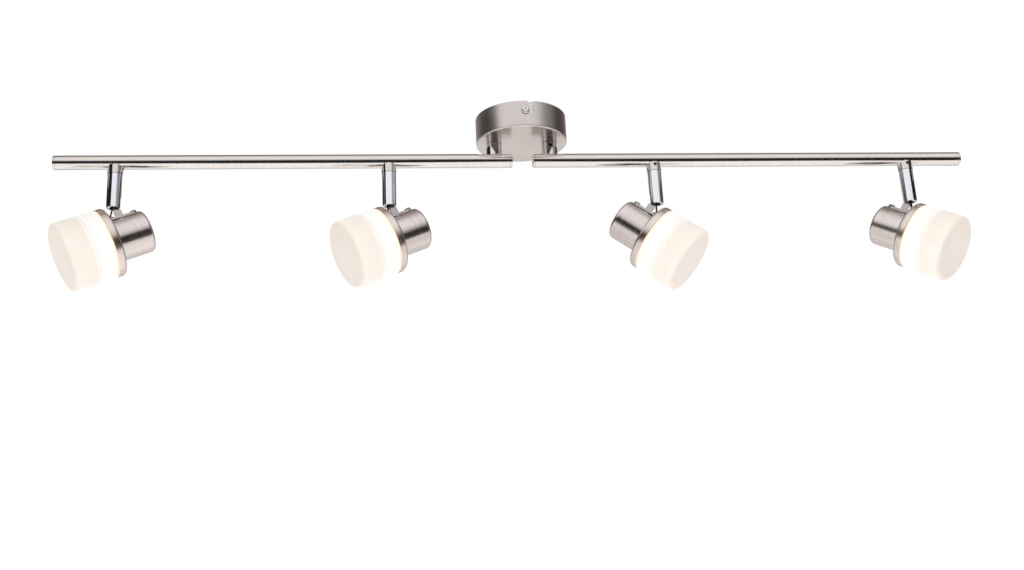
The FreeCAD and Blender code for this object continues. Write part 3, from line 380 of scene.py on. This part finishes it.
def frosted_shade(k):
    """Frosted acrylic lit from inside: almost white behind the ring groove, creamier ahead of it. Painted shade
    darkens the glow at the rounded front edge and toward the front face's rim, and the glow's strength is
    painted light and shade by the way the wall faces.
    """
    tree = Tree(f"lamp_{k}_frosted_acrylic")
    axis = lamp_axis(k)
    origin = middle(f"lamp_{k}_flange")
    front = shade_front(k, origin, axis)
    offset = tree.vector("SUBTRACT", tree.place(), tuple(origin))
    ahead = tree.vector("DOT_PRODUCT", offset, tuple(axis))
    radial = tree.vector("LENGTH", tree.vector("SUBTRACT", offset, tree.vector("SCALE", tuple(axis), ahead)))
    grain = tree.noise(tree.place(), 2600.0, detail=2.0)
    cloud = tree.noise(tree.place(), 38.0, detail=2.0)
    share = tree.scale_range(ahead, 0.0, SHADE_GLOW_SPAN / 1000, 0.0, 1.0)
    # The ramp's last stop paints a darker shade line at the rounded front edge
    glow = tree.ramp(share, *[(distance / SHADE_GLOW_SPAN, tone) for distance, tone in SHADE_GLOW])
    centre = tree.scale_range(radial, *SHADE_CENTRE_FADE, 1.0, 0.0)
    face = tree.scale_range(ahead, *(front - depth for depth in SHADE_FACE_DEPTH), 0.0, 1.0)
    inside = tree.scale_range(radial, *SHADE_FACE_EDGE, 1.0, 0.0)
    # The front face takes the face tones in place of the glow, darkened toward its rim as painted shade
    glow = tree.mix(tree.math("MULTIPLY", face, inside), glow,
                    tree.mix(centre, SHADE_FACE_RIM_PAINTED_SHADE, SHADE_FACE_CENTRE))
    darker, lighter = SHADE_TONES
    tree.set(Base_Color=tree.ramp(cloud, (0.3, darker), (0.7, lighter)),
             Roughness=tree.scale_range(grain, 0.3, 0.7, *SHADE_ROUGHNESS),
             Emission_Color=glow)
    # Painted light and shade: the glow is weaker where the wall faces down and stronger just below level
    facing = tree.scale_range(tree.split(tree.normal())[2], -1.0, 1.0, 0.0, 1.0)
    strength = tree.ramp(facing, *[(position, (level,) * 3) for position, level in SHADE_GLOW_PAINTED_SHADING])
    tree.put(strength, tree.shader.inputs["Emission Strength"])
    tree.shader.inputs["Subsurface Weight"].default_value = SHADE_SCATTER
    tree.shader.inputs["Subsurface Scale"].default_value = SHADE_SCATTER_REACH
    tree.bump(grain, 0.1, 0.00002)
    return tree.material


# Polished metals: colour, roughness, and the nodes that have them
POLISHED = {
    "left_cap_nickel": (NICKEL, 0.12, ["left_end_caps"]),
    "right_cap_nickel": (NICKEL, 0.12, ["right_end_caps"]),
    "spigot_steel": ((0.78, 0.77, 0.75), 0.16, ["swivel_spigots"]),
    "screw_steel": ((0.80, 0.80, 0.80), 0.14, ["side_screws"]),
    "bracket_screw_steel": ((0.34, 0.32, 0.31), 0.24, lamp_nodes("bracket_screw")),
    "nut_steel": ((0.70, 0.72, 0.74), 0.24, ["spigot_nuts"]),
    "brass": ((0.80, 0.62, 0.30), 0.25, ["earth_screw"]),
    "grub_steel": ((0.10, 0.10, 0.11), 0.3, ["left_grub_screws", "right_grub_screws"]),
    "stem_chrome": (CHROME, 0.035, stem_nodes("tube")),
    "fork_nickel": ((0.72, 0.71, 0.70), 0.16, stem_nodes("fork")),
    "pin_steel": ((0.75, 0.75, 0.76), 0.15, stem_nodes("pivot_pin")),
}
for metal, (colour, roughness, dressed) in POLISHED.items():
    dress(polished(metal, colour, roughness), *dressed)
dress(canopy_metal(), "canopy_cup")
dress(brushed_round("zinc_sheet", Vector((0, 0, 0)), Vector((1, 0, 0)), ZINC, 0.5), "ceiling_bracket")
for side in ("left", "right"):
    dress(brushed_round(f"{side}_arm_nickel", middle(f"{side}_arm"), Vector((1, 0, 0)), NICKEL, 0.13,
                        streak=1700.0, strength=0.02), f"{side}_arm")
dress(plastic("terminal_plastic", (0.86, 0.85, 0.81), 0.5), "terminal_block")
dress(plastic("lead_jacket", (0.075, 0.045, 0.035), 0.42), "canopy_leads", "left_arm_leads", "right_arm_leads",
      *lamp_nodes("leads"))
dress(board("driver_board", (0.05, 0.16, 0.08), (0.10, 0.26, 0.13)), *lamp_nodes("driver"))
dress(board("led_board", (0.82, 0.82, 0.79), (0.74, 0.73, 0.68)), *lamp_nodes("led_board"))
for k in range(1, LAMP_COUNT + 1):
    axis = lamp_axis(k)
    origin = middle(f"lamp_{k}_flange")
    dress(brushed_round(f"lamp_{k}_housing_nickel", origin, axis, HOUSING_NICKEL, 0.2, streak=1500.0),
          f"lamp_{k}_housing")
    # The flanges get a painted warm shine of the lit shade near their front edge
    dress(brushed_round(f"lamp_{k}_flange_nickel", origin, axis, FLANGE_NICKEL, 0.22, lip=LIP,
                        streak=1500.0), f"lamp_{k}_flange")
    dress(polished(f"lamp_{k}_bracket_nickel", (0.52, 0.50, 0.49), 0.2), f"lamp_{k}_bracket")
    dress(frosted_shade(k), f"lamp_{k}_shade")


# ---------------------------------------------------------------- studio

def card(name, centre, width, height, facing, shade, camera=False):
    """A flat card of the given tone, square to the direction it faces. Only the floor shows to the camera."""
    mesh = bpy.data.meshes.new(name)
    x, y = width / 2, height / 2
    mesh.from_pydata([(-x, -y, 0), (x, -y, 0), (x, y, 0), (-x, y, 0)], [], [(0, 1, 2, 3)])
    thing = bpy.data.objects.new(name, mesh)
    thing.location = centre
    thing.rotation_mode = "QUATERNION"
    thing.rotation_quaternion = Vector(facing).to_track_quat("Z", "Y")
    bpy.context.scene.collection.objects.link(thing)
    tree = Tree(name + "_paint")
    patch = tree.noise(tree.place(), 0.8, detail=2.0)
    tree.set(Base_Color=tree.ramp(patch, (0.3, tuple(c * 0.95 for c in shade)), (0.7, shade)), Roughness=0.9)
    mesh.materials.append(tree.material)
    thing.visible_camera = camera


def floor_wash(centre, size, power):
    """A square softbox that lights the floor below it and shows in no reflection."""
    data = bpy.data.lights.new("floor_wash", "AREA")
    data.shape = "SQUARE"
    data.size = size
    data.energy = power
    thing = bpy.data.objects.new("floor_wash", data)
    thing.location = centre
    thing.visible_camera = False
    thing.visible_glossy = False
    bpy.context.scene.collection.objects.link(thing)


def studio_world():
    """White to the camera. To everything else, a tent.

    It is dark along the front horizon, bright above that and below, and dim from overhead to the back."""
    world = bpy.data.worlds.new("studio")
    world.use_nodes = True
    tree = world.node_tree
    tree.nodes.clear()

    def math_node(operation, *values):
        node = tree.nodes.new("ShaderNodeMath")
        node.operation = operation
        for i, value in enumerate(values):
            if isinstance(value, bpy.types.NodeSocket):
                tree.links.new(value, node.inputs[i])
            else:
                node.inputs[i].default_value = value
        return node.outputs[0]

    def tone_ramp(value, stops):
        node = tree.nodes.new("ShaderNodeValToRGB")
        tree.links.new(value, node.inputs["Fac"])
        elements = node.color_ramp.elements
        while len(elements) < len(stops):
            elements.new(0.5)
        for element, (position, tone) in zip(elements, stops):
            element.position = position
            element.color = (*tone, 1.0)
        return node.outputs["Color"]

    direction = tree.nodes.new("ShaderNodeTexCoord")
    split = tree.nodes.new("ShaderNodeSeparateXYZ")
    tree.links.new(direction.outputs["Generated"], split.inputs[0])
    front = math_node("MULTIPLY", split.outputs[1], -1.0)
    turn = math_node("ARCTAN2", split.outputs[2], front)
    share = math_node("FRACT", math_node("ADD", math_node("DIVIDE", turn, math.tau), 1.0))
    tone = tone_ramp(share, [(angle / 360, colour) for angle, colour in TENT])
    across = math_node("ADD", math_node("MULTIPLY", split.outputs[0], 0.5), 0.5)
    kept = tone_ramp(across, [(position, (level,) * 3) for position, level in SIDES])
    height = math_node("ADD", math_node("MULTIPLY", split.outputs[2], 0.5), 0.5)
    band = tone_ramp(height, [(position, (level,) * 3) for position, level in SIDES_BAND])
    sides = tree.nodes.new("ShaderNodeMix")
    sides.data_type = "RGBA"
    sides.blend_type = "MULTIPLY"
    tree.links.new(band, sides.inputs[0])
    tree.links.new(tone, sides.inputs[6])
    tree.links.new(kept, sides.inputs[7])
    tent = tree.nodes.new("ShaderNodeBackground")
    tree.links.new(sides.outputs[2], tent.inputs["Color"])
    tent.inputs["Strength"].default_value = TENT_STRENGTH
    sheet = tree.nodes.new("ShaderNodeBackground")
    sheet.inputs["Color"].default_value = (1, 1, 1, 1)
    path = tree.nodes.new("ShaderNodeLightPath")
    mixer = tree.nodes.new("ShaderNodeMixShader")
    tree.links.new(path.outputs["Is Camera Ray"], mixer.inputs[0])
    tree.links.new(tent.outputs[0], mixer.inputs[1])
    tree.links.new(sheet.outputs[0], mixer.inputs[2])
    out = tree.nodes.new("ShaderNodeOutputWorld")
    tree.links.new(mixer.outputs[0], out.inputs["Surface"])
    bpy.context.scene.world = world


studio_world()
card("studio_floor", (0, 0, -FLOOR_DROP), FLOOR_SIZE, FLOOR_SIZE, (0, 0, 1), FLOOR_TONE, camera=True)
for card_name, place in CARDS.items():
    card(card_name, *place)
floor_wash((0.0, 0.0, WASH_HEIGHT), WASH_SIZE, WASH_POWER)


# ---------------------------------------------------------------- camera

def make_camera():
    yaw, rise, roll = (math.radians(angle) for angle in (CAMERA_YAW, CAMERA_ELEVATION, CAMERA_ROLL))
    sight = Vector((math.sin(yaw) * math.cos(rise), math.cos(yaw) * math.cos(rise), math.sin(rise)))
    right = Vector((math.cos(yaw), -math.sin(yaw), 0))
    up = right.cross(sight)
    tilted_right = right * math.cos(roll) + up * math.sin(roll)
    tilted_up = up * math.cos(roll) - right * math.sin(roll)
    data = bpy.data.cameras.new("camera")
    data.sensor_width = SENSOR
    data.lens = LENS
    data.shift_y = CAMERA_SHIFT
    data.clip_start = 0.01
    data.clip_end = 50.0
    camera = bpy.data.objects.new("camera", data)
    bpy.context.scene.collection.objects.link(camera)
    turn = Matrix((tilted_right, tilted_up, -sight)).transposed()
    camera.matrix_world = Matrix.Translation(CAMERA_TARGET - sight * CAMERA_DISTANCE) @ turn.to_4x4()
    bpy.context.scene.camera = camera


make_camera()
bpy.context.scene.view_settings.view_transform = "Standard"
